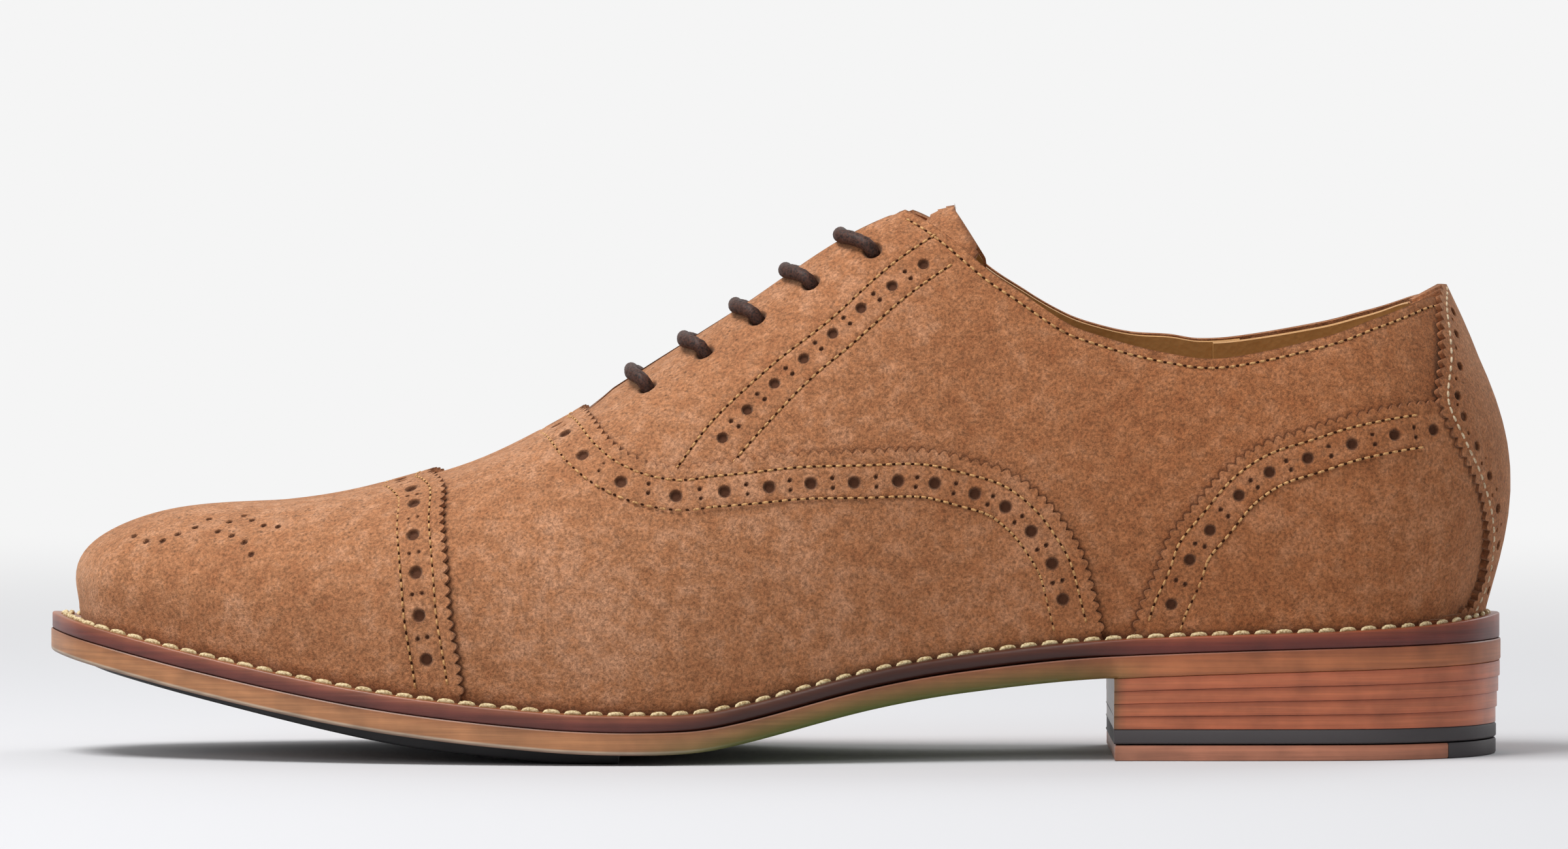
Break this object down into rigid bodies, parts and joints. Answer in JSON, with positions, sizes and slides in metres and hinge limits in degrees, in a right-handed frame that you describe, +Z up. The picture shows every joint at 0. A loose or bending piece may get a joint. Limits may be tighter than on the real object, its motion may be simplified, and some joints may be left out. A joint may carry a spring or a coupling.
{
  "type": "oxford shoe",
  "caption": "Low laced leather shoe for a left foot: closed facings, capped toe, winged vamp, welted sole and stacked heel; its tongue hinges inward.",
  "frame": {"origin": "on the floor, at the middle of the shoe's footprint", "axes": "+X from toe to heel, -Y to the shoe's outer side, +Z up"},
  "size_m": [0.3106, 0.1036, 0.1168],
  "materials": {
    "upper_suede": "napped suede",
    "lining_leather": "smooth, satin",
    "stiffener": "matte, stiffened",
    "canvas": "matte weave",
    "insole_leather": "matte",
    "cork": "granular, matte",
    "steel": "plain",
    "welt_leather": "waxed, satin",
    "welt_thread": "waxed thread",
    "sole_leather": "waxed edge",
    "black_rubber": "matte",
    "stack_leather": "burnished edge",
    "lace_cotton": "waxed round braid",
    "aglet_plastic": "glossy",
    "eyelet_brass": "plain"
  },
  "bodies": {
    "shoe": {"aglet_1": "aglet_plastic", "aglet_2": "aglet_plastic", "back_strap": "upper_suede", "cork_filler": "cork", "eyelet_lateral_1": "eyelet_brass", "eyelet_lateral_2": "eyelet_brass", "eyelet_lateral_3": "eyelet_brass", "eyelet_lateral_4": "eyelet_brass", "eyelet_lateral_5": "eyelet_brass", "eyelet_medial_1": "eyelet_brass", "eyelet_medial_2": "eyelet_brass", "eyelet_medial_3": "eyelet_brass", "eyelet_medial_4": "eyelet_brass", "eyelet_medial_5": "eyelet_brass", "forefoot_rubber": "black_rubber", "foxing_lateral": "upper_suede", "foxing_medial": "upper_suede", "heel_counter": "stiffener", "heel_lift_1": "stack_leather", "heel_lift_2": "stack_leather", "heel_lift_3": "stack_leather", "heel_lift_4": "stack_leather", "heel_lining": "lining_leather", "heel_nail_1": "steel", "heel_nail_2": "steel", "heel_nail_3": "steel", "heel_nail_4": "steel", "heel_nail_5": "steel", "heel_rubber": "black_rubber", "heel_sock": "lining_leather", "insole": "insole_leather", "insole_rib": "canvas", "lace": "lace_cotton", "outsole": "sole_leather", "quarter_lateral": "upper_suede", "quarter_lining_lateral": "lining_leather", "quarter_lining_medial": "lining_leather", "quarter_medial": "upper_suede", "shank": "steel", "toe_cap": "upper_suede", "toe_puff": "stiffener", "top_piece_leather": "stack_leather", "top_piece_rubber": "black_rubber", "vamp": "upper_suede", "vamp_interlining": "canvas", "vamp_lining": "lining_leather", "welt": "welt_leather", "welt_stitching": "welt_thread"},
    "tongue": {"tongue": "upper_suede", "tongue_lining": "lining_leather"}
  },
  "joints": [
    {"name": "tongue_hinge", "type": "hinge", "parent": "shoe", "child": "tongue", "pos_m": [-0.042, 0.003, 0.0668], "axis": [0, 1, 0], "range_deg": [0, 10], "stiffness_Nm_per_rad": 0.3}
  ]
}
